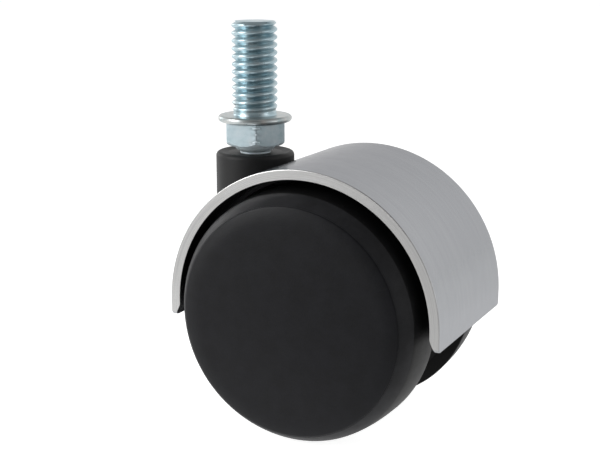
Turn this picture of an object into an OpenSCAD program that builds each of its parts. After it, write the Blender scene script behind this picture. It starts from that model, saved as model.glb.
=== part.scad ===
// Twin-wheel furniture caster with a threaded stem and a chromed hood.
// The origin is the centre of the stem flange's top face, which seats against the furniture.
// +Z runs up the stem, +X runs from the swivel axis towards the wheel axle, and the axle lies along Y.

/* [Stem] */
// Nominal diameter of the stem's thread, 3/8 inch
thread_d = 9.5; // [8:0.1:10.5]
// Pitch of the thread, 16 turns to the inch
thread_pitch = 1.588; // [1.25:0.001:1.75]
// Length of the threaded stretch
thread_l = 18.5; // [10:0.1:45]
// Height of the plain neck between the flange and the thread
neck_h = 0.8; // [0.6:0.1:3]
// Diameter of the seating flange
flange_d = 15.4; // [15.2:0.1:16.4]
// Thickness of the seating flange
flange_h = 1.6; // [1.5:0.1:2.2]
// Spanner size across the flats of the hexagon
hex_af = 12; // [10:0.5:13]
// Height of the hexagon
hex_h = 4.6; // [4.2:0.1:5.5]
// Diameter of the swivel pin below the hexagon
pin_d = 6.4; // [6:0.1:7]

/* [Housing] */
// Distance from the swivel axis to the axle, measured along the floor
trail = 19.1; // [18.6:0.1:19.5]
// Height of the seating face above the axle
axle_drop = 36.5; // [36.2:0.1:37.2]
// Diameter of the swivel boss
boss_d = 16.4; // [16:0.1:16.6]
// Thickness of the web between the wheels
web_t = 9; // [8:0.5:9.5]

/* [Hood] */
// Outer radius of the hood about the axle
hood_r = 29.2; // [29:0.1:29.6]
// Wall thickness of the hood
hood_t = 2.1; // [1.8:0.1:2.2]
// Width of the hood along the axle
hood_w = 36.4; // [32:0.2:38]
// How far the hood's lower edges hang below the axle
leg = 3.4; // [3:0.1:4.5]

/* [Wheels] */
// Tread diameter
wheel_d = 51; // [50.2:0.2:51.2]
// Clear gap between the two wheels
wheel_gap = 21.8; // [20:0.2:22.6]
// Distance from the mid-plane to the ring where the tread meets the cap
crease_y = 23; // [22.6:0.1:23.4]
// Diameter of that ring
crease_d = 46; // [45.8:0.1:46.4]
// How far the cap bulges beyond the ring
cap_bulge = 1.1; // [0.6:0.1:1.4]

/* [Hidden] */
$fn = 96;
NEAR = -1;                               // side of the mid-plane: the near wheel is at -Y
FAR = 1;
fit = 0.05;                              // radial clearance of every running fit
past = 1;                                // how far a cutting solid reaches past what it cuts

// Stem, from the tip down
crest_r = thread_d / 2;
root_r = crest_r - 0.58 * thread_pitch;
neck_r = crest_r - 0.3;
foot_h = 0.3;                            // full-size foot of the neck on the flange
stem_h = neck_h + thread_l;
thread_turns = floor(thread_l / thread_pitch - 0.5);
tip_z = neck_h + thread_turns * thread_pitch;    // the last, part turn starts here
flange_r = flange_d / 2;
hex_top_z = -flange_h;
hex_z = hex_top_z - hex_h;
hex_r = hex_af / sqrt(3);
hex_foot_r = hex_af / 2 - 0.15;          // underside of the hexagon, inside its chamfer
collar_r = 4.3;
collar_h = 1.4;
boss_gap = 1.4;                          // between the hexagon and the boss
pin_r = pin_d / 2;
pin_end_z = -31.3;
pin_groove_z = -29.6;
pin_groove_w = 1;
pin_groove_r = pin_r - 0.5;
ring_r = pin_r + 0.8;                    // snap ring's outer radius

// Swivel boss and its socket
boss_r = boss_d / 2;
boss_top_z = hex_z - boss_gap;
boss_round = 0.9;
dish_r = boss_r - 1;                     // the boss's top is dished inside this radius
dish_z = boss_top_z - 0.3;
bush_head_r = 5.7;
bush_head_h = 0.9;
socket_r = pin_r + 1.2;
bush_end_z = pin_groove_z + pin_groove_w + 0.15;
disc_h = 0.9;
socket_floor_z = pin_end_z - 0.1 - disc_h;
boss_end_z = socket_floor_z - 2.7;

// Hood and the arch that the housing carries under it, between the wheels
hood_in_r = hood_r - hood_t;
leg_round = 0.3;                         // outside of the hood's lower edge
leg_corner_r = 1.1;
leg_chamfer_w = 1.1;                     // chamfer inside the hood's lower edge
leg_chamfer_h = 2.3;
hole_r = boss_r + 0.15;
hole_end_z = -axle_drop + sqrt(hood_r ^ 2 - (trail + hole_r) ^ 2) - 0.3;
liner_r = hood_in_r - 0.05;
liner_t = 0.8;
liner_w = wheel_gap - 1.6;
web_r = 10.2;                            // lobe of the web round the axle

// Wheels, as radius from the axle and distance from the mid-plane
tread_r = wheel_d / 2;
tread_draft = 0.15;                      // the tread is this much larger in radius at its inner edge
crease_r = crease_d / 2;
inner_y = wheel_gap / 2;
shoulder_r = 9.7;                        // arc from the tread to the crease
shoulder_y = crease_y - sqrt(shoulder_r ^ 2 - (crease_r - (tread_r - shoulder_r)) ^ 2);
core_r = tread_r - 2.7;
rim_t = 2;
rim_end_y = 20.8;
disc_y = 17.5;                           // inner face of the core's disc
disc_t = 2.2;
ring_wall_r = 13.8;                      // ring wall half-way between the hub and the rim
ring_wall_t = 1.6;
hub_r = 7;
clip_pocket_r = 6.3;
rib_count = 8;
rib_t = 1.4;
rib_y = inner_y + 1.4;
axle_r = 3.5;
axle_hub_r = axle_r + 1.2;               // outside of the hub bush
washer_t = 0.6;
hub_y = web_t / 2 + washer_t + 0.15;
clip_y = disc_y + 0.6;
clip_t = 0.8;
clip_r = 5.8;
clip_groove_r = axle_r - 0.45;
axle_end_y = clip_y + clip_t + 0.5;
cap_gap = 0.08;
cap_r = crease_r - cap_gap;
cap_t = 1.5;
cap_round = 0.9;                         // soft edge where the cap meets the tread
cap_dome_r = cap_r - 0.4;                // the dome ends where the soft edge starts
cap_turn = 0.85;                         // share of that radius inside which the dome is almost flat
snap_r = 19.8;                           // snap wall under the cap
snap_t = 1.4;

function arc(cx, cy, r, a0, a1, n = 12) =
    [for (i = [0 : n]) let (a = a0 + (a1 - a0) * i / n) [cx + r * cos(a), cy + r * sin(a)]];

// Puts children on the wheel axle, with their own +Z along the axle towards that side
module on_axle(side) {
    translate([trail, 0, -axle_drop])
        rotate([-side * 90, 0, 0])
            children();
}

// Extrudes a side view, drawn about the axle, across the mid-plane
module across(width) {
    translate([trail, 0, -axle_drop])
        rotate([90, 0, 0])
            linear_extrude(height = width, center = true)
                children();
}

module tube(r_out, r_in, y0, y1) {
    translate([0, 0, y0])
        difference() {
            cylinder(r = r_out, h = y1 - y0);
            translate([0, 0, -past])
                cylinder(r = r_in, h = y1 - y0 + 2 * past);
        }
}

// ---------------------------------------------------------------- stem

// Thread drawn as rings of the true pitch and depth; the crests are flat at the nominal diameter
function thread_profile(z0, count) =
    [for (i = [0 : count - 1]) let (z = z0 + i * thread_pitch)
        each [[root_r, z + 0.12 * thread_pitch], [root_r, z + 0.26 * thread_pitch],
              [crest_r, z + 0.62 * thread_pitch], [crest_r, z + 0.76 * thread_pitch]]];

module thread_solid() {
    rotate_extrude()
        polygon(concat(
            [[0, -flange_h], [crest_r, -flange_h], [crest_r, foot_h], [neck_r, foot_h + 0.25], [neck_r, neck_h]],
            thread_profile(neck_h, thread_turns),
            [[root_r, tip_z + 0.12 * thread_pitch], [crest_r - 0.3, stem_h - 0.15],
             [crest_r - 0.55, stem_h], [0, stem_h]]));
}

module flange_solid() {
    nose = 0.7;
    rotate_extrude()
        polygon(concat(
            [[0, 0]],
            arc(flange_r - nose, -nose, nose, 90, -60, 10),
            [[hex_af / 2, -flange_h], [0, -flange_h]]));
}

module hex_solid() {
    intersection() {
        translate([0, 0, hex_z])
            cylinder(r = hex_r, h = hex_h + 0.1, $fn = 6);
        translate([0, 0, hex_z])
            cylinder(r1 = hex_foot_r, r2 = hex_foot_r + 1.2 * hex_h, h = hex_h + 0.1);
    }
}

// Collar, swivel pin and the groove for the snap ring, turned in one piece
module pin_solid() {
    rotate_extrude()
        polygon([[0, hex_z + 0.1], [collar_r, hex_z + 0.1], [collar_r, hex_z],
                 [collar_r - 0.2, hex_z - 0.6], [pin_r, hex_z - collar_h],
                 [pin_r, pin_groove_z + pin_groove_w], [pin_groove_r, pin_groove_z + pin_groove_w],
                 [pin_groove_r, pin_groove_z], [pin_r, pin_groove_z],
                 [pin_r, pin_end_z + 0.8], [pin_r - 0.8, pin_end_z], [0, pin_end_z]]);
}

module threaded_stem() {
    color([0.68, 0.76, 0.8])
        union() {
            thread_solid();
            flange_solid();
            hex_solid();
            pin_solid();
        }
}

module stem_snap_ring() {
    color("gray")
        difference() {
            tube(ring_r, pin_groove_r + 0.02, pin_groove_z + 0.05, pin_groove_z + pin_groove_w - 0.05);
            translate([0, -1.2, pin_groove_z])
                cube([ring_r + past, 2.4, pin_groove_w]);
        }
}

// ------------------------------------------------------------- housing

// Side view of the boss: full round above the hood's hole, trimmed to the liner's arc below it
module boss_solid() {
    rotate_extrude()
        polygon(concat(
            [[0, hole_end_z + 0.3], [boss_r, hole_end_z + 0.3]],
            arc(boss_r - boss_round, boss_top_z - boss_round, boss_round, 0, 90, 8),
            [[0, boss_top_z]]));
    intersection() {
        translate([0, 0, boss_end_z])
            cylinder(r = boss_r, h = hole_end_z + 0.4 - boss_end_z);
        across(4 * boss_r)
            circle(r = liner_r);
    }
}

// Half ring about the axle, with a straight leg below it at either end
module arch(r_out, r_in) {
    difference() {
        union() {
            circle(r = r_out);
            translate([-r_out, -leg])
                square([2 * r_out, leg]);
        }
        circle(r = r_in);
        translate([-r_in, -r_out - past])
            square([2 * r_in, r_out + past]);
        translate([-r_out - past, -leg - r_out])
            square([2 * (r_out + past), r_out]);
    }
}

module web_side() {
    difference() {
        circle(r = liner_r - liner_t / 2);
        translate([-hood_r, -hood_r - leg])
            square([2 * hood_r, hood_r]);
    }
    circle(r = web_r);
}

module housing() {
    color([0.13, 0.13, 0.14])
        difference() {
            union() {
                boss_solid();
                across(liner_w)
                    arch(liner_r, liner_r - liner_t);
                across(web_t)
                    web_side();
            }
            translate([0, 0, socket_floor_z])
                cylinder(r = socket_r, h = boss_top_z - socket_floor_z + past);
            translate([0, 0, dish_z - bush_head_h])
                cylinder(r = bush_head_r, h = bush_head_h + past);
            translate([0, 0, dish_z])
                cylinder(r1 = bush_head_r, r2 = dish_r, h = boss_top_z - dish_z);
            translate([0, 0, boss_top_z - 0.001])
                cylinder(r = dish_r, h = past);
            on_axle(FAR)
                cylinder(r = axle_r, h = 2 * web_t, center = true);
        }
}

// Side view of the hood with its chamfered lower edges
module hood_side() {
    difference() {
        arch(hood_r, hood_in_r);
        leg_cut();
        mirror([1, 0])
            leg_cut();
    }
}

// Cuts the chamfer inside a lower edge and rounds the outside
module leg_cut() {
    polygon([[hood_in_r - past, -leg + leg_chamfer_h], [hood_in_r, -leg + leg_chamfer_h],
             [hood_in_r + leg_chamfer_w, -leg], [hood_in_r + leg_chamfer_w, -leg - past],
             [hood_in_r - past, -leg - past]]);
    difference() {
        translate([hood_r - leg_round, -leg - past])
            square([leg_round + past, leg_round + past]);
        translate([hood_r - leg_round, -leg + leg_round])
            circle(r = leg_round);
    }
}

// Rounds the hood's lower corners on one side, seen along X
module corner_cut(side) {
    cut_w = past + leg_corner_r;
    rotate([90, 0, 90])
        linear_extrude(height = 2 * (hood_r + past), center = true)
            difference() {
                translate([side * (hood_w / 2 + past - cut_w / 2), -leg - past + cut_w / 2])
                    square(cut_w, center = true);
                translate([side * (hood_w / 2 - leg_corner_r), -leg + leg_corner_r])
                    circle(r = leg_corner_r);
            }
}

module hood_cover() {
    color([0.72, 0.73, 0.75])
        difference() {
            across(hood_w)
                hood_side();
            translate([0, 0, hole_end_z])
                cylinder(r = hole_r, h = -hole_end_z);
            translate([trail, 0, -axle_drop])
                for (side = [NEAR, FAR])
                    corner_cut(side);
        }
}

module stem_bush() {
    color("ivory")
        difference() {
            union() {
                translate([0, 0, bush_end_z])
                    cylinder(r = socket_r, h = dish_z - bush_end_z);
                translate([0, 0, dish_z - bush_head_h])
                    cylinder(r = bush_head_r, h = bush_head_h);
            }
            translate([0, 0, bush_end_z - past])
                cylinder(r = pin_r + fit, h = dish_z - bush_end_z + 2 * past);
        }
}

module thrust_disc() {
    color("silver")
        translate([0, 0, socket_floor_z])
            cylinder(r = socket_r - 0.1, h = disc_h);
}

module axle() {
    end = 0.6;
    half = concat(
        [[axle_r, 0], [axle_r, clip_y], [clip_groove_r, clip_y],
         [clip_groove_r, clip_y + clip_t], [axle_r, clip_y + clip_t]],
        [[axle_r, axle_end_y - end], [axle_r - end, axle_end_y], [0, axle_end_y]]);
    color("silver")
        on_axle(FAR)
            rotate_extrude()
                polygon(concat([for (i = [len(half) - 1 : -1 : 1]) [half[i][0], -half[i][1]]],
                               [for (i = [1 : len(half) - 1]) half[i]]));
}

module web_washer(side) {
    color("silver")
        on_axle(side)
            tube(hub_r - 0.8, axle_r + fit, web_t / 2, web_t / 2 + washer_t);
}

module axle_clip(side) {
    slot_w = 2 * clip_groove_r - 0.6;
    color("gray")
        on_axle(side)
            difference() {
                tube(clip_r, clip_groove_r, clip_y, clip_y + clip_t);
                translate([0, -slot_w / 2, clip_y - past])
                    cube([clip_r + past, slot_w, clip_t + 2 * past]);
            }
}

// -------------------------------------------------------------- wheels

// Moulded core: hub, ring wall and rim on a disc, with radial ribs on the inner side
module wheel_core(side) {
    rim_in_r = core_r - rim_t;
    color([0.16, 0.16, 0.17])
        on_axle(side)
            difference() {
                union() {
                    translate([0, 0, hub_y])
                        cylinder(r = hub_r, h = disc_y + disc_t - hub_y);
                    translate([0, 0, disc_y])
                        cylinder(r = core_r - rim_t / 2, h = disc_t);
                    tube(ring_wall_r + ring_wall_t, ring_wall_r, rib_y, disc_y + disc_t / 2);
                    tube(core_r, rim_in_r, inner_y + 0.4, rim_end_y);
                    for (i = [0 : rib_count - 1])
                        rotate([0, 0, (i + 0.5) * 360 / rib_count])
                            translate([hub_r - 0.5, -rib_t / 2, rib_y])
                                cube([rim_in_r + 1 - hub_r, rib_t, disc_y + disc_t / 2 - rib_y]);
                }
                translate([0, 0, hub_y - past])
                    cylinder(r = axle_hub_r, h = disc_y - hub_y + 2 * past);
                translate([0, 0, disc_y + 0.3])
                    cylinder(r = clip_pocket_r, h = disc_t + past);
            }
}

module wheel_tread(side) {
    edge = 0.25;
    color([0.15, 0.15, 0.16])
        on_axle(side)
            rotate_extrude()
                polygon(concat(
                    [[core_r, inner_y], [tread_r + tread_draft - edge, inner_y],
                     [tread_r + tread_draft, inner_y + edge]],
                    arc(tread_r - shoulder_r, shoulder_y, shoulder_r, 0,
                        acos((crease_r - tread_r + shoulder_r) / shoulder_r), 14),
                    [[crease_r, rim_end_y], [core_r, rim_end_y]]));
}

module hub_bush(side) {
    color("ivory")
        on_axle(side)
            tube(axle_hub_r, axle_r + fit, hub_y, disc_y + 0.3);
}

// How far the cap's dome has dropped at a radius, as a share of its whole drop
function dome_drop(r) =
    0.58 * (r / cap_dome_r) ^ 2
    + 0.42 * (max(0, r / cap_dome_r - cap_turn) / (1 - cap_turn)) ^ 2.5;

// Domed cap with a soft edge and a snap wall that stands on the core's disc
module wheel_cap(side) {
    steps = 24;
    tilt = 18;                           // slope of the dome at its edge, and where the soft edge ends
    end_tilt = 48;
    top_y = crease_y + cap_bulge;
    dome_y = crease_y + cap_round * (cos(tilt) - cos(end_tilt)) - 0.03;
    under_y = top_y - cap_t;
    seat_y = disc_y + disc_t + 0.05;
    color([0.17, 0.17, 0.18])
        on_axle(side)
            rotate_extrude()
                polygon(concat(
                    [[cap_r, rim_end_y + 0.1]],
                    arc(cap_dome_r - cap_round * sin(tilt), dome_y - cap_round * cos(tilt), cap_round,
                        90 - end_tilt, 90 - tilt, 6),
                    [for (i = [1 : steps]) let (r = cap_dome_r * (1 - i / steps))
                        [r, top_y - (top_y - dome_y) * dome_drop(r)]],
                    [[0, under_y], [snap_r - snap_t - 1, under_y - 0.8], [snap_r - snap_t, seat_y],
                     [snap_r, seat_y], [snap_r, rim_end_y + 0.1]]));
}

threaded_stem();
stem_snap_ring();
housing();
hood_cover();
stem_bush();
thrust_disc();
axle();
web_washer(NEAR);  // web_washer_near
web_washer(FAR);  // web_washer_far
axle_clip(NEAR);  // axle_clip_near
axle_clip(FAR);  // axle_clip_far
wheel_core(NEAR);  // wheel_core_near
wheel_tread(NEAR);  // wheel_tread_near
hub_bush(NEAR);  // hub_bush_near
wheel_cap(NEAR);  // wheel_cap_near
wheel_core(FAR);  // wheel_core_far
wheel_tread(FAR);  // wheel_tread_far
hub_bush(FAR);  // hub_bush_far
wheel_cap(FAR);  // wheel_cap_far
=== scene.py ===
"""Twin-wheel furniture caster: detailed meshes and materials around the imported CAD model."""
import math

import bmesh
import bpy
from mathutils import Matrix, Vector


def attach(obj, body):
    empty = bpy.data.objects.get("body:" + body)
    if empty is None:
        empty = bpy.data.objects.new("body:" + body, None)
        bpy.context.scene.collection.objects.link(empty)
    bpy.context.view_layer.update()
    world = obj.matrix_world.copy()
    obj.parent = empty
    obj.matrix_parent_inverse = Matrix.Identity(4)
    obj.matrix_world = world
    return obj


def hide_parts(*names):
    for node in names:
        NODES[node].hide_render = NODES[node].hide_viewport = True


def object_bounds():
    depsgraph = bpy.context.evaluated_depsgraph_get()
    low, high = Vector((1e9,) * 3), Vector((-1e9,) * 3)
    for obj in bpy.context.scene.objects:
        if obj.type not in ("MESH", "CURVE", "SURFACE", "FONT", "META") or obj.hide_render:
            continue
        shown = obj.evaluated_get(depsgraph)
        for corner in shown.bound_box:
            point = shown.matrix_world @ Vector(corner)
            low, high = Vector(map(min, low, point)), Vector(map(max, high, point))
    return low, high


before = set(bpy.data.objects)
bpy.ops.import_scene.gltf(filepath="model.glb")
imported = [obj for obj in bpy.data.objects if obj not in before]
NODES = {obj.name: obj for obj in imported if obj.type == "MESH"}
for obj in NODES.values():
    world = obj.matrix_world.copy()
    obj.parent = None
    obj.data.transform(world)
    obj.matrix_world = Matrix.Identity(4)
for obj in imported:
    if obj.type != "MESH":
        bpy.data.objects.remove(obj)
cad_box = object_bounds()

# ------------------------------------------------------------------ sizes, in millimetres
MM = 0.001
TRAIL, DROP = 19.1, 36.5                  # the axle from the swivel axis, along and down
STEM_H, FLANGE_H, HEX_AF, HEX_H = 19.3, 1.6, 12.0, 4.6
HOOD_R, HOOD_IN, HOOD_W, LEG = 29.2, 27.1, 36.4, 3.4
EDGE = 0.17                               # rounding along the hood's edges
BOSS_HOLE_R, HOLE_LOW = 8.35, -26.84
TREAD_R, DRAFT, CORE_R, INNER_Y = 25.5, 0.15, 22.8, 10.9
CREASE_R, CREASE_Y, CORNER_R, CORNER_Y = 23.0, 23.0, 24.9, 20.0
CAP_R, CAP_TOP = 22.985, 24.1


# ------------------------------------------------------------------ meshes
def arc(cx, cy, r, a0, a1, n=8):
    """Points on an arc, from a0 to a1 degrees."""
    return [(cx + r * math.cos(math.radians(a0 + (a1 - a0) * i / n)),
             cy + r * math.sin(math.radians(a0 + (a1 - a0) * i / n))) for i in range(n + 1)]


def about_axle(side):
    """Maps radius, angle and distance from the mid-plane to the row frame."""
    return lambda r, a, h: Vector((TRAIL + r * math.cos(a), side * h, -DROP + r * math.sin(a)))


def about_swivel(r, a, h):
    return Vector((r * math.cos(a), r * math.sin(a), h))


def make(name, bm, material, body, sharp=35):
    """Turns a bmesh in millimetres into a piece that rides on a CAD body."""
    bmesh.ops.remove_doubles(bm, verts=bm.verts, dist=1e-4)
    bmesh.ops.recalc_face_normals(bm, faces=bm.faces)
    for v in bm.verts:
        v.co *= MM
    me = bpy.data.meshes.new(name)
    bm.to_mesh(me)
    bm.free()
    me.shade_smooth()
    me.set_sharp_from_angle(angle=math.radians(sharp))
    me.materials.append(material)
    ob = bpy.data.objects.new(name, me)
    bpy.context.scene.collection.objects.link(ob)
    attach(ob, body)
    return ob


def lathe(profile, place, steps=160, closed=False):
    """Revolves a profile of (radius, height) points; points on the axis become poles."""
    bm = bmesh.new()
    rings = []
    for r, h in profile:
        if r < 1e-6:
            rings.append([bm.verts.new(place(0, 0, h))] * steps)
        else:
            rings.append([bm.verts.new(place(r, 2 * math.pi * i / steps, h)) for i in range(steps)])
    pairs = list(zip(rings, rings[1:])) + ([(rings[-1], rings[0])] if closed else [])
    for low, high in pairs:
        for i in range(steps):
            j = (i + 1) % steps
            corners = list(dict.fromkeys([low[i], low[j], high[j], high[i]]))
            if len(corners) > 2:
                bm.faces.new(corners)
    return bm


def grid(bm, rows, wrap=False):
    """Faces between neighbouring rows of vertices."""
    for low, high in zip(rows, rows[1:]):
        n = len(low)
        for i in range(n if wrap else n - 1):
            j = (i + 1) % n
            bm.faces.new((low[i], low[j], high[j], high[i]))


# ------------------------------------------------------------------ materials
class Material:
    """A Principled material with short calls for its procedural nodes."""

    def __init__(self, name, colour, metallic, roughness, **fixed):
        self.mat = bpy.data.materials.new(name)
        self.mat.use_nodes = True
        self.tree = self.mat.node_tree
        self.shader = self.tree.nodes["Principled BSDF"]
        self.set("Base Color", (*colour, 1))
        self.set("Metallic", metallic)
        self.set("Roughness", roughness)
        for key, value in fixed.items():
            self.set(key.replace("_", " "), value)
        self.coords = self.node("ShaderNodeTexCoord").outputs["Object"]

    def set(self, socket, value):
        self.shader.inputs[socket].default_value = value

    def node(self, kind, **props):
        n = self.tree.nodes.new(kind)
        for key, value in props.items():
            setattr(n, key, value)
        return n

    def link(self, a, b):
        self.tree.links.new(a, b)

    def stretched(self, x, y, z):
        """Object coordinates in millimetres, scaled along each axis."""
        m = self.node("ShaderNodeMapping")
        m.inputs["Scale"].default_value = (1000 * x, 1000 * y, 1000 * z)
        self.link(self.coords, m.inputs["Vector"])
        return m.outputs["Vector"]

    def polar(self, cx, cy, cz, along, ring, turn, out):
        """Coordinates about an axis through a point in mm: radius, angle and distance along, each scaled."""
        move = self.node("ShaderNodeMapping")
        move.inputs["Scale"].default_value = (1000, 1000, 1000)
        move.inputs["Location"].default_value = (-cx, -cy, -cz)
        self.link(self.coords, move.inputs["Vector"])
        split = self.node("ShaderNodeSeparateXYZ")
        self.link(move.outputs["Vector"], split.inputs["Vector"])
        first, second, third = (("X", "Z", "Y") if along == "Y" else ("X", "Y", "Z"))
        flat = self.node("ShaderNodeCombineXYZ")
        self.link(split.outputs[first], flat.inputs["X"])
        self.link(split.outputs[second], flat.inputs["Y"])
        length = self.node("ShaderNodeVectorMath", operation="LENGTH")
        self.link(flat.outputs["Vector"], length.inputs[0])
        angle = self.math("ARCTAN2", split.outputs[second], split.outputs[first])
        both = self.node("ShaderNodeCombineXYZ")
        self.link(self.math("MULTIPLY", length.outputs["Value"], ring), both.inputs["X"])
        self.link(self.math("MULTIPLY", angle, turn), both.inputs["Y"])
        self.link(self.math("MULTIPLY", split.outputs[third], out), both.inputs["Z"])
        return both.outputs["Vector"]

    def math(self, operation, a, b=None):
        n = self.node("ShaderNodeMath", operation=operation)
        for socket, value in zip(n.inputs, (a, b)):
            if isinstance(value, (int, float)):
                socket.default_value = value
            elif value is not None:
                self.link(value, socket)
        return n.outputs[0]

    def noise(self, vector, scale, detail=3, roughness=0.5):
        n = self.node("ShaderNodeTexNoise")
        n.inputs["Scale"].default_value = scale
        n.inputs["Detail"].default_value = detail
        n.inputs["Roughness"].default_value = roughness
        self.link(vector, n.inputs["Vector"])
        return n.outputs["Fac"]

    def ramp(self, value, *stops):
        """Colour ramp from (position, colour or grey) stops."""
        n = self.node("ShaderNodeValToRGB")
        n.color_ramp.interpolation = "EASE"
        while len(n.color_ramp.elements) < len(stops):
            n.color_ramp.elements.new(0.5)
        for element, (position, colour) in zip(n.color_ramp.elements, stops):
            element.position = position
            element.color = (*colour, 1) if isinstance(colour, tuple) else (colour, colour, colour, 1)
        self.link(value, n.inputs["Fac"])
        return n.outputs["Color"]

    def colour(self, output):
        self.link(output, self.shader.inputs["Base Color"])

    def rough(self, value, low, high):
        n = self.node("ShaderNodeMapRange")
        n.inputs["To Min"].default_value = low
        n.inputs["To Max"].default_value = high
        self.link(value, n.inputs["Value"])
        self.link(n.outputs["Result"], self.shader.inputs["Roughness"])

    def bump(self, height, strength, distance_mm, under=None):
        n = self.node("ShaderNodeBump")
        n.inputs["Strength"].default_value = strength
        n.inputs["Distance"].default_value = distance_mm * MM
        self.link(height, n.inputs["Height"])
        if under is not None:
            self.link(under, n.inputs["Normal"])
        self.link(n.outputs["Normal"], self.shader.inputs["Normal"])
        return n.outputs["Normal"]


def zinc(name, low, middle, high, smooth=0.2, dull=0.42, metallic=1.0):
    """Zinc plate with a passivated, cloudy tint, turned marks and small pits."""
    m = Material(name, middle, metallic, 0.28)
    cloud = m.noise(m.stretched(1, 1, 1), 0.45, 4, 0.6)
    m.colour(m.ramp(cloud, (0.3, low), (0.5, middle), (0.72, high)))
    m.rough(m.noise(m.stretched(1, 1, 1), 1.6, 3, 0.6), smooth, dull)
    turned = m.noise(m.polar(0, 0, 0, "Z", 1.0, 1.2, 9.0), 1.0, 3, 0.6)
    normal = m.bump(turned, 0.25, 0.04)
    m.bump(m.noise(m.stretched(1, 1, 1), 2.2, 4, 0.65), 0.3, 0.06, normal)
    return m.mat


def chrome():
    """Satin chrome: smooth round the outside and brushed across the two rims. Their paler colour is partly
    that finish and partly a painted highlight line along the rounded edges.
    """
    m = Material("satin_chrome", (0.31, 0.315, 0.325), 1.0, 0.2, Specular_Tint=(0.6, 0.6, 0.61, 1))
    brushed = m.noise(m.polar(TRAIL, 0, -DROP, "Y", 9.0, 1.0, 1.1), 1.0, 4, 0.65)
    outside = m.ramp(brushed, (0.25, (0.395, 0.404, 0.42)), (0.75, (0.425, 0.434, 0.446)))
    rim_finish_and_painted_highlight = m.ramp(brushed, (0.3, (0.42, 0.42, 0.418)), (0.7, (0.59, 0.586, 0.58)))
    split = m.node("ShaderNodeSeparateXYZ")
    m.link(m.stretched(1, 1, 1), split.inputs["Vector"])
    # Mask of the rim faces and the outer part of their rounded edges; on the rounding the paler rim colour is
    # a painted highlight line
    edge = m.node("ShaderNodeMapRange", interpolation_type="SMOOTHSTEP")
    edge.inputs["From Min"].default_value = HOOD_W / 2 - 0.16
    edge.inputs["From Max"].default_value = HOOD_W / 2 - 0.02
    m.link(m.math("ABSOLUTE", split.outputs["Y"]), edge.inputs["Value"])
    mix = m.node("ShaderNodeMix", data_type="RGBA")
    m.link(edge.outputs["Result"], mix.inputs["Factor"])
    m.link(outside, mix.inputs["A"])
    m.link(rim_finish_and_painted_highlight, mix.inputs["B"])
    m.colour(mix.outputs["Result"])
    m.rough(m.noise(m.stretched(1, 1, 1), 0.35, 3, 0.5), 0.17, 0.28)
    normal = m.bump(brushed, 0.08, 0.02)
    m.bump(m.noise(m.stretched(1, 1, 1), 6.0, 2, 0.5), 0.05, 0.01, normal)
    return m.mat


def plastic(name, colour, roughness, grain_mm, depth, spread=0.06, specular=0.5):
    """Moulded plastic: fine grain, slow change of gloss, faint scuffs."""
    m = Material(name, colour, 0.0, roughness, Specular_IOR_Level=specular)
    slow = m.noise(m.stretched(1, 1, 1), 0.25, 3, 0.6)
    low = tuple(c * 0.82 for c in colour)
    high = tuple(c * 1.22 for c in colour)
    m.colour(m.ramp(slow, (0.3, low), (0.7, high)))
    m.rough(m.noise(m.stretched(1, 1, 1), 0.8, 4, 0.6), roughness - spread, roughness + spread)
    grain = m.noise(m.stretched(1, 1, 1), 1.0 / grain_mm, 2, 0.5)
    normal = m.bump(grain, 0.5, depth)
    m.bump(slow, 0.3, 0.02, normal)
    return m.mat


def steel(name, colour, roughness):
    m = Material(name, colour, 1.0, roughness)
    m.rough(m.noise(m.stretched(1, 1, 1), 2.0, 3, 0.6), roughness - 0.08, roughness + 0.1)
    darker = tuple(c * 0.85 for c in colour)
    m.colour(m.ramp(m.noise(m.stretched(1, 1, 1), 0.6, 3), (0.3, darker), (0.7, colour)))
    m.bump(m.noise(m.stretched(1, 6, 1), 1.5, 3, 0.6), 0.2, 0.02)
    return m.mat


ZINC = zinc("zinc_plated_steel", (0.31, 0.43, 0.48), (0.39, 0.5, 0.54), (0.48, 0.54, 0.56))
# Darker copy of the zinc for the hexagon, toning down the key lamp on its faces: painted shade
ZINC_HEX_PAINTED_SHADE = zinc("zinc_plate_hexagon_painted_shade", (0.31, 0.39, 0.42), (0.37, 0.44, 0.47), (0.43, 0.48, 0.5), 0.42, 0.6)
# Warmer, paler copy of the zinc for the flange, standing in for the pinkish highlight on its rim: painted
# highlight tint
ZINC_FLANGE_PAINTED_HIGHLIGHT = zinc("zinc_plate_flange_painted_highlight", (0.33, 0.4, 0.41), (0.41, 0.44, 0.44), (0.52, 0.51, 0.49))
# Much paler, less metallic copy of the zinc for faces that look down into shade: painted light
ZINC_DULL_PAINTED_LIGHT = zinc("zinc_plate_dull_painted_light", (0.64, 0.77, 0.82), (0.72, 0.82, 0.86), (0.78, 0.84, 0.87),
                 0.45, 0.6, 0.35)
CHROME = chrome()
BLACK = plastic("black_nylon", (0.006, 0.006, 0.0064), 0.5, 0.28, 0.02, specular=0.26)
CORE = plastic("wheel_nylon", (0.005, 0.005, 0.0052), 0.46, 0.35, 0.015, specular=0.26)
CAP = plastic("cap_nylon", (0.0046, 0.0048, 0.0062), 0.43, 0.3, 0.045, specular=0.165)
# Dark and light copies of the tread's plastic: painted shade inside the hood, painted light on the shoulder
TREAD_PAINTED_SHADE = plastic("tread_polyurethane", (0.004, 0.004, 0.0042), 0.48, 0.5, 0.008, specular=0.1)
SIDE_PAINTED_LIGHT = plastic("tread_side_painted_light", (0.0135, 0.0137, 0.0152), 0.46, 0.4, 0.02, specular=0.115)
BUSH = plastic("greased_acetal", (0.012, 0.011, 0.01), 0.45, 0.4, 0.02, specular=0.2)
ACETAL = plastic("natural_acetal", (0.62, 0.6, 0.54), 0.38, 0.3, 0.01)
BRIGHT = steel("bright_steel", (0.55, 0.56, 0.57), 0.3)
SPRING = steel("spring_steel", (0.16, 0.165, 0.175), 0.42)


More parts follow.
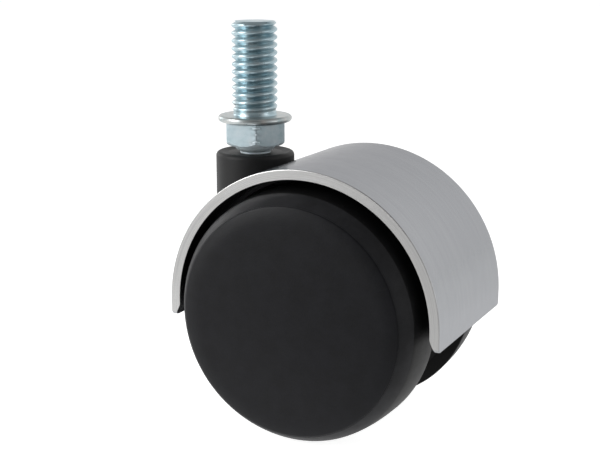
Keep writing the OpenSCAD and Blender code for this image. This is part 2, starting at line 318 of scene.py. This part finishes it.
# ------------------------------------------------------------------ stem
def thread(z0, z1, pitch=1.5875, major=4.74, minor=3.9, neck=4.45, chamfer=0.6):
    """Right-hand helical thread with rounded crests, faded into the neck below and the tip's cone above."""
    across = [(0.0, 0.0), (0.06, 0.05), (0.13, 0.26), (0.21, 0.52), (0.29, 0.74), (0.38, 0.91),
              (0.46, 0.98), (0.53, 1.0), (0.60, 0.98), (0.68, 0.91), (0.77, 0.74), (0.85, 0.52),
              (0.93, 0.24), (0.97, 0.06)]
    steps = 96
    turns = int((z1 - z0) / pitch) + 4
    bm = bmesh.new()
    rows = []
    for k in range(turns * len(across) + 1):
        t, level = across[k % len(across)]
        base = z0 - 2 * pitch + (k // len(across) + t) * pitch
        row = []
        for i in range(steps + 1):
            z = base + pitch * i / steps
            fade = min(1.0, max(0.0, (z - z0) / (0.8 * pitch)))
            r = minor + (major - minor) * level
            r = neck + (r - neck) * fade
            top = (z - (z1 - chamfer)) / chamfer
            if top > 0:
                r = min(r, major - 0.55 * top)
            row.append(bm.verts.new(about_swivel(r, 2 * math.pi * i / steps, z)))
        rows.append(row)
    grid(bm, rows)
    bmesh.ops.remove_doubles(bm, verts=bm.verts, dist=1e-4)
    for z, sign in ((z0 - 0.4, -1), (z1, 1)):
        cut = bmesh.ops.bisect_plane(bm, geom=bm.verts[:] + bm.edges[:] + bm.faces[:], plane_co=(0, 0, z),
                                     plane_no=(0, 0, sign), clear_outer=True, dist=1e-5)
        edges = [g for g in cut["geom_cut"] if isinstance(g, bmesh.types.BMEdge)]
        bmesh.ops.edgeloop_fill(bm, edges=edges)
    return bm


def hexagon(z_top, z_low):
    """Hexagon with rounded corners and a chamfered underside."""
    apothem, corner, per_side = HEX_AF / 2, 0.4, 10
    outline = []
    for s in range(6):
        mid = math.radians(60 * s)
        centre = Vector((math.cos(mid), math.sin(mid))) * ((apothem - corner) / math.cos(math.radians(30)))
        for i in range(7):
            a = mid - math.radians(30) + math.radians(60) * i / 6
            outline.append(centre + Vector((math.cos(a), math.sin(a))) * corner)
        after = math.radians(60 * (s + 1))
        other = Vector((math.cos(after), math.sin(after))) * ((apothem - corner) / math.cos(math.radians(30)))
        normal = Vector((math.cos(mid + math.radians(30)), math.sin(mid + math.radians(30)))) * corner
        for i in range(1, per_side):
            outline.append((centre + normal).lerp(other + normal, i / per_side))
    bm = bmesh.new()
    rows = []
    dent = Vector((math.cos(math.radians(-60)), math.sin(math.radians(-60))))
    dents = ((-2.3, 0.22), (-3.6, 0.1), (-5.0, 0.18))     # height and depth of the wear on one corner
    for i in range(25):
        row = []
        for p in outline:
            low = z_low + max(0.0, p.length - (apothem - 0.15)) * 0.9 + 0.05
            z = z_top + (low - z_top) * i / 24
            near = max(0.0, 1 - (p.normalized() - dent).length / 0.13)
            deep = sum(d * math.exp(-((z - at) / 0.28) ** 2) for at, d in dents)
            q = p * (1 - near * deep / apothem)
            row.append(bm.verts.new((q.x, q.y, z)))
        rows.append(row)
    for inset, z in ((0.05, z_low + 0.015), (0.2, z_low)):
        rows.append([bm.verts.new((*(p.normalized() * (apothem - 0.15 - inset)), z)) for p in outline])
    grid(bm, rows, wrap=True)
    bm.faces.new(rows[0])
    bm.faces.new(rows[-1])
    return bm


hex_top = -FLANGE_H
hex_low = hex_top - HEX_H
stem_thread = make("stem_thread", thread(0.74, STEM_H - 0.01), ZINC, "stem")
neck = lathe([(0, -0.5), (4.6, -0.5), (4.6, 0.0), (4.52, 0.12), (4.46, 0.3), (4.45, 0.7), (0, 0.7)],
             about_swivel)
stem_neck = make("stem_neck", neck, ZINC, "stem")
flange = lathe([(0, 0), (6.9, 0)] + arc(7.0, -0.7, 0.7, 90, -70, 14)[1:] + [(6.4, -1.58), (0, -1.6)],
               about_swivel)
stem_flange = make("stem_flange", flange, ZINC_FLANGE_PAINTED_HIGHLIGHT, "stem")
stem_hexagon = make("stem_hexagon", hexagon(hex_top + 0.2, hex_low), ZINC_HEX_PAINTED_SHADE, "stem",
                    sharp=25)
# Faces of the hexagon that look downwards take the paler zinc: painted light on its underside
stem_hexagon.data.materials.append(ZINC_DULL_PAINTED_LIGHT)
for poly in stem_hexagon.data.polygons:
    poly.material_index = int(poly.normal.z < -0.15)
bowl = [(4.3, 0.2), (4.3, -0.15), (4.24, -0.45), (4.1, -0.75), (3.85, -1.0), (3.5, -1.25), (3.2, -1.4)]
# The collar below the hexagon and the pin take the paler zinc too: painted light
pin = lathe([(0, hex_low + 0.2)] + [(r, hex_low + h) for r, h in bowl]
            + [(3.2, -28.6), (2.7, -28.6), (2.7, -29.6), (3.2, -29.6)]
            + [(3.2, -30.5), (2.4, -31.3), (0, -31.3)],
            about_swivel, 96)
stem_pin = make("stem_pin", pin, ZINC_DULL_PAINTED_LIGHT, "stem")
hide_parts("threaded_stem")


# ------------------------------------------------------------------ hood
def hood_section(below):
    """Inner radius, outer radius and half width of the hood, at a height above its lower edges."""
    inner, outer, half = HOOD_IN, HOOD_R, HOOD_W / 2
    if below < 2.3:
        inner += 1.1 * (1 - below / 2.3)
    if below < 0.3:
        outer -= 0.3 - math.sqrt(max(0.0, 0.09 - (0.3 - below) ** 2))
    if below < 1.1:
        half -= 1.1 - math.sqrt(max(0.0, 1.21 - (1.1 - below) ** 2))
    return inner, outer, half


def hood():
    """Half ring with straight legs, swept as one rounded section, with the boss's hole cut through."""
    legs = [(-1, LEG * (1 - math.cos(math.pi / 2 * i / 12))) for i in range(12)]
    turn = [("arc", math.radians(180 - 180 * i / 160)) for i in range(161)]
    path = legs + turn + [(1, b) for _, b in reversed(legs)]
    bm = bmesh.new()
    rows = []
    for kind, value in path:
        inner, outer, half = hood_section(LEG if kind == "arc" else value)
        section = []
        for rho, y, start in ((outer - EDGE, half - EDGE, 90), (outer - EDGE, EDGE - half, 0),
                              (inner + EDGE, EDGE - half, -90), (inner + EDGE, half - EDGE, -180)):
            section += arc(rho, y, EDGE, start, start - 90, 5)
        row = []
        for rho, y in section:
            if kind == "arc":
                x, z = rho * math.cos(value), rho * math.sin(value)
            else:
                x, z = kind * rho, value - LEG
            row.append(bm.verts.new((TRAIL + x, y, -DROP + z)))
        rows.append(row)
    grid(bm, rows, wrap=True)
    bm.faces.new(rows[0])
    bm.faces.new(rows[-1])
    return bm


def hood_normal(p):
    """Outward normal of the rounded section at a point of the hood, in millimetres."""
    x, z = p.x - TRAIL, p.z + DROP
    if z > 0:
        rho, out, below = math.hypot(x, z), Vector((x, 0, z)).normalized(), LEG
    else:
        rho, out, below = abs(x), Vector((math.copysign(1, x), 0, 0)), z + LEG
    inner, outer, half = hood_section(below)
    core_rho = min(max(rho, inner + EDGE), outer - EDGE)
    core_y = min(max(p.y, -half + EDGE), half - EDGE)
    n = out * (rho - core_rho) + Vector((0, p.y - core_y, 0))
    return n.normalized() if n.length > 1e-6 else None


def cut_and_smooth(ob, cutter_bm, normal_at):
    """Cuts a solid out of a piece, then sets the exact normals of the curved surfaces that are left."""
    me = bpy.data.meshes.new("cutter")
    bmesh.ops.recalc_face_normals(cutter_bm, faces=cutter_bm.faces)
    for v in cutter_bm.verts:
        v.co *= MM
    cutter_bm.to_mesh(me)
    cutter = bpy.data.objects.new("cutter", me)
    bpy.context.scene.collection.objects.link(cutter)
    mod = ob.modifiers.new("hole", "BOOLEAN")
    mod.operation, mod.solver, mod.object = "DIFFERENCE", "EXACT", cutter
    done = bpy.data.meshes.new_from_object(ob.evaluated_get(bpy.context.evaluated_depsgraph_get()))
    ob.modifiers.clear()
    ob.data = done
    bpy.data.objects.remove(cutter)
    done.shade_smooth()
    normals = []
    for poly in done.polygons:
        for index in poly.vertices:
            p = done.vertices[index].co / MM
            n = normal_at(p)
            if n is None or n.dot(poly.normal) < 0.75:
                around = Vector((-p.x, -p.y, 0)).normalized()
                on_hole = abs(Vector((p.x, p.y)).length - BOSS_HOLE_R) < 0.02
                n = around if on_hole and around.dot(poly.normal) > 0.8 else poly.normal.copy()
            normals.append(n)
    done.normals_split_custom_set(normals)


hood_cover = make("hood_shell", hood(), CHROME, "housing")
boss_hole = lathe([(0, HOLE_LOW), (BOSS_HOLE_R, HOLE_LOW), (BOSS_HOLE_R, 2), (0, 2)], about_swivel, 192)
cut_and_smooth(hood_cover, boss_hole, hood_normal)
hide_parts("hood_cover")


# ------------------------------------------------------------------ wheels
def tread_profile():
    """Slightly tapered tread that meets the shoulder at a crisp corner."""
    start, end, r = 23.8, 40.8, 12.0
    centre_r = CORNER_R - r * math.cos(math.radians(start))
    centre_y = CORNER_Y - r * math.sin(math.radians(start))
    shoulder = arc(centre_r, centre_y, r, start, end - 0.3, 40)
    return ([(CORE_R, INNER_Y)] + arc(TREAD_R + DRAFT - 0.25, INNER_Y + 0.25, 0.25, -90, 0, 6)
            + [(25.57, 14.0), (25.47, 16.0), (25.3, 17.7), (25.12, 19.0), (24.95, 19.85)] + shoulder
            + [(CREASE_R + 0.01, CREASE_Y - 0.04), (CREASE_R, CREASE_Y - 0.12)]
            + [(CREASE_R, 20.8), (CORE_R, 20.8)])


def cap_profile():
    """Almost flat dome that turns down towards a soft edge, flush with the tread."""
    edge, tilt, end_tilt, steps = 0.9, 18, 48, 60
    dome_r = CAP_R - 0.4
    dome_y = CREASE_Y + edge * (math.cos(math.radians(tilt)) - math.cos(math.radians(end_tilt))) - 0.03
    points = []
    for i in range(steps + 1):
        share = i / steps
        drop = 0.58 * share ** 2 + 0.42 * (max(0.0, share - 0.85) / 0.15) ** 2.5
        points.append((dome_r * share, CAP_TOP - (CAP_TOP - dome_y) * drop))
    centre_r = dome_r - edge * math.sin(math.radians(tilt))
    centre_y = dome_y - edge * math.cos(math.radians(tilt))
    points += arc(centre_r, centre_y, edge, 90 - tilt, 90 - end_tilt, 8)[1:]
    inside = [(CAP_R, 20.9), (19.8, 20.9), (19.8, 19.75), (18.4, 19.75), (17.4, 21.8), (0, 22.6)]
    return points + [(CAP_R, 22.7)] + inside


for side, where in ((-1, "near"), (1, "far")):
    body = "wheel_" + where
    place = about_axle(side)
    ring = lathe(tread_profile(), place, 240, closed=True)
    tread = make("tread_" + where, ring, TREAD_PAINTED_SHADE, body)
    tread.data.materials.append(SIDE_PAINTED_LIGHT)
    # Faces beyond the corner take the lighter tread colour and the rest the darker one: painted light on the
    # shoulder, painted shade on the tread under the hood
    for poly in tread.data.polygons:
        poly.material_index = int(abs(poly.center.y) > CORNER_Y * MM)
    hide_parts("wheel_tread_" + where)
    cap = make("cap_" + where, lathe(cap_profile(), place, 240), CAP, body)
    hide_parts("wheel_cap_" + where)

# ------------------------------------------------------------------ pieces whose CAD shape stays
for name, material in (("housing", BLACK), ("stem_bush", BUSH), ("thrust_disc", BRIGHT), ("axle", BRIGHT),
                       ("stem_snap_ring", SPRING), ("web_washer_near", BRIGHT), ("web_washer_far", BRIGHT),
                       ("axle_clip_near", SPRING), ("axle_clip_far", SPRING), ("wheel_core_near", CORE),
                       ("wheel_core_far", CORE), ("hub_bush_near", ACETAL), ("hub_bush_far", ACETAL)):
    node = NODES[name]
    node.data.materials.clear()
    node.data.materials.append(material)
    if name.startswith("wheel_core") or name == "housing":
        bevel = node.modifiers.new("edges", "BEVEL")
        bevel.width, bevel.segments, bevel.limit_method = 0.14 * MM, 2, "ANGLE"
        bevel.angle_limit = math.radians(40)
        bevel.harden_normals = True

# ------------------------------------------------------------------ studio
floor_z = cad_box[0].z
floor_bm = bmesh.new()
bmesh.ops.create_grid(floor_bm, x_segments=4, y_segments=4, size=6)
floor_me = bpy.data.meshes.new("floor")
floor_bm.to_mesh(floor_me)
floor_bm.free()
floor = bpy.data.objects.new("floor", floor_me)
floor.location = (0, 0, floor_z)
bpy.context.scene.collection.objects.link(floor)
pale = Material("floor", (0.6, 0.6, 0.6), 0.0, 0.8, Specular_IOR_Level=0.0)
pale.set("Emission Color", (1, 1, 1, 1))


def fade(value, start, end, low, high):
    """Glow of the floor that changes smoothly between two distances in metres."""
    n = pale.node("ShaderNodeMapRange", interpolation_type="SMOOTHSTEP")
    for socket, number in (("From Min", start), ("From Max", end), ("To Min", low), ("To Max", high)):
        n.inputs[socket].default_value = number
    pale.link(value, n.inputs["Value"])
    return n.outputs["Result"]


def towards_edge(x, y):
    """Distance along a direction of the floor."""
    n = pale.node("ShaderNodeVectorMath", operation="DOT_PRODUCT")
    n.inputs[1].default_value = (x, y, 0)
    pale.link(pale.coords, n.inputs[0])
    return n.outputs["Value"]


# Uneven floor glow: stronger near the object, filling in its contact shade (painted light), and weaker
# towards the front right, a painted shade that shows in the wheels' reflections
distance = pale.node("ShaderNodeVectorMath", operation="LENGTH")
pale.link(pale.coords, distance.inputs[0])
glow_fill_and_shade = pale.math("MULTIPLY", fade(distance.outputs["Value"], 0.06, 0.18, 0.9, 0.7),
                 fade(towards_edge(0.82, -0.57), 0.055, 0.13, 1.0, 0.25))
glow_fill_and_shade = pale.math("MULTIPLY", glow_fill_and_shade, fade(towards_edge(0.44, -0.9), 0.033, 0.08, 1.0, 0.4))
pale.link(glow_fill_and_shade, pale.shader.inputs["Emission Strength"])
floor.data.materials.append(pale.mat)

world = bpy.data.worlds.new("studio")
bpy.context.scene.world = world
world.use_nodes = True
tree = world.node_tree
sky = tree.nodes["Background"]
coords = tree.nodes.new("ShaderNodeTexCoord")


def towards(direction, *stops):
    """Grey of the studio walls by the cosine between the direction looked in and this one."""
    dot = tree.nodes.new("ShaderNodeVectorMath")
    dot.operation = "DOT_PRODUCT"
    dot.inputs[1].default_value = Vector(direction).normalized()
    tree.links.new(coords.outputs["Generated"], dot.inputs[0])
    ramp = tree.nodes.new("ShaderNodeValToRGB")
    ramp.color_ramp.interpolation = "EASE"
    for element, (position, grey) in zip(ramp.color_ramp.elements, stops):
        element.position, element.color = position, (grey, grey, grey, 1)
    tree.links.new(dot.outputs["Value"], ramp.inputs["Fac"])
    return ramp.outputs["Color"]


ceiling = towards((0, 0, 1), (0.45, 1.0), (0.85, 0.35))
front = towards((0.44, -0.87, 0.2), (0.5, 1.0), (0.9, 0.25))
walls = tree.nodes.new("ShaderNodeMix")
walls.data_type, walls.blend_type = "RGBA", "MULTIPLY"
walls.inputs["Factor"].default_value = 1
tree.links.new(ceiling, walls.inputs["A"])
tree.links.new(front, walls.inputs["B"])
tree.links.new(walls.outputs["Result"], sky.inputs["Color"])
sky.inputs["Strength"].default_value = 1.0


def area(name, azimuth, elevation, distance, size, power, target=(0.01, 0, -0.025)):
    """Soft light round the object; azimuth as the views' camera has it."""
    a, e = math.radians(azimuth), math.radians(elevation)
    away = Vector((math.sin(a) * math.cos(e), -math.cos(a) * math.cos(e), math.sin(e)))
    light = bpy.data.lights.new(name, "AREA")
    light.shape, light.size, light.energy = "DISK", size, power
    ob = bpy.data.objects.new(name, light)
    ob.location = Vector(target) + away * distance
    ob.rotation_mode = "QUATERNION"
    ob.rotation_quaternion = away.to_track_quat("Z", "Y")
    bpy.context.scene.collection.objects.link(ob)


area("key", -50, 35, 0.8, 0.4, 2.3)
area("low_left", -40, 12, 0.8, 0.4, 1.7)
area("right", 90, 4, 0.8, 0.35, 0.35)
area("back_left", -110, 15, 0.8, 0.25, 0.5)

camera_data = bpy.data.cameras.new("camera")
camera_data.sensor_width, camera_data.lens = 36, 75.1
camera_data.clip_start, camera_data.clip_end = 0.01, 20
camera = bpy.data.objects.new("camera", camera_data)
look = Vector((10.456, 0, -22.65)) * MM
azimuth, elevation = math.radians(26.258), math.radians(12.866)
back = Vector((math.sin(azimuth) * math.cos(elevation), -math.cos(azimuth) * math.cos(elevation),
               math.sin(elevation)))
camera.location = look + back * 261.58 * MM
camera.rotation_mode = "QUATERNION"
camera.rotation_quaternion = back.to_track_quat("Z", "Y")
bpy.context.scene.collection.objects.link(camera)
bpy.context.scene.camera = camera
bpy.context.scene.view_settings.view_transform = "Standard"
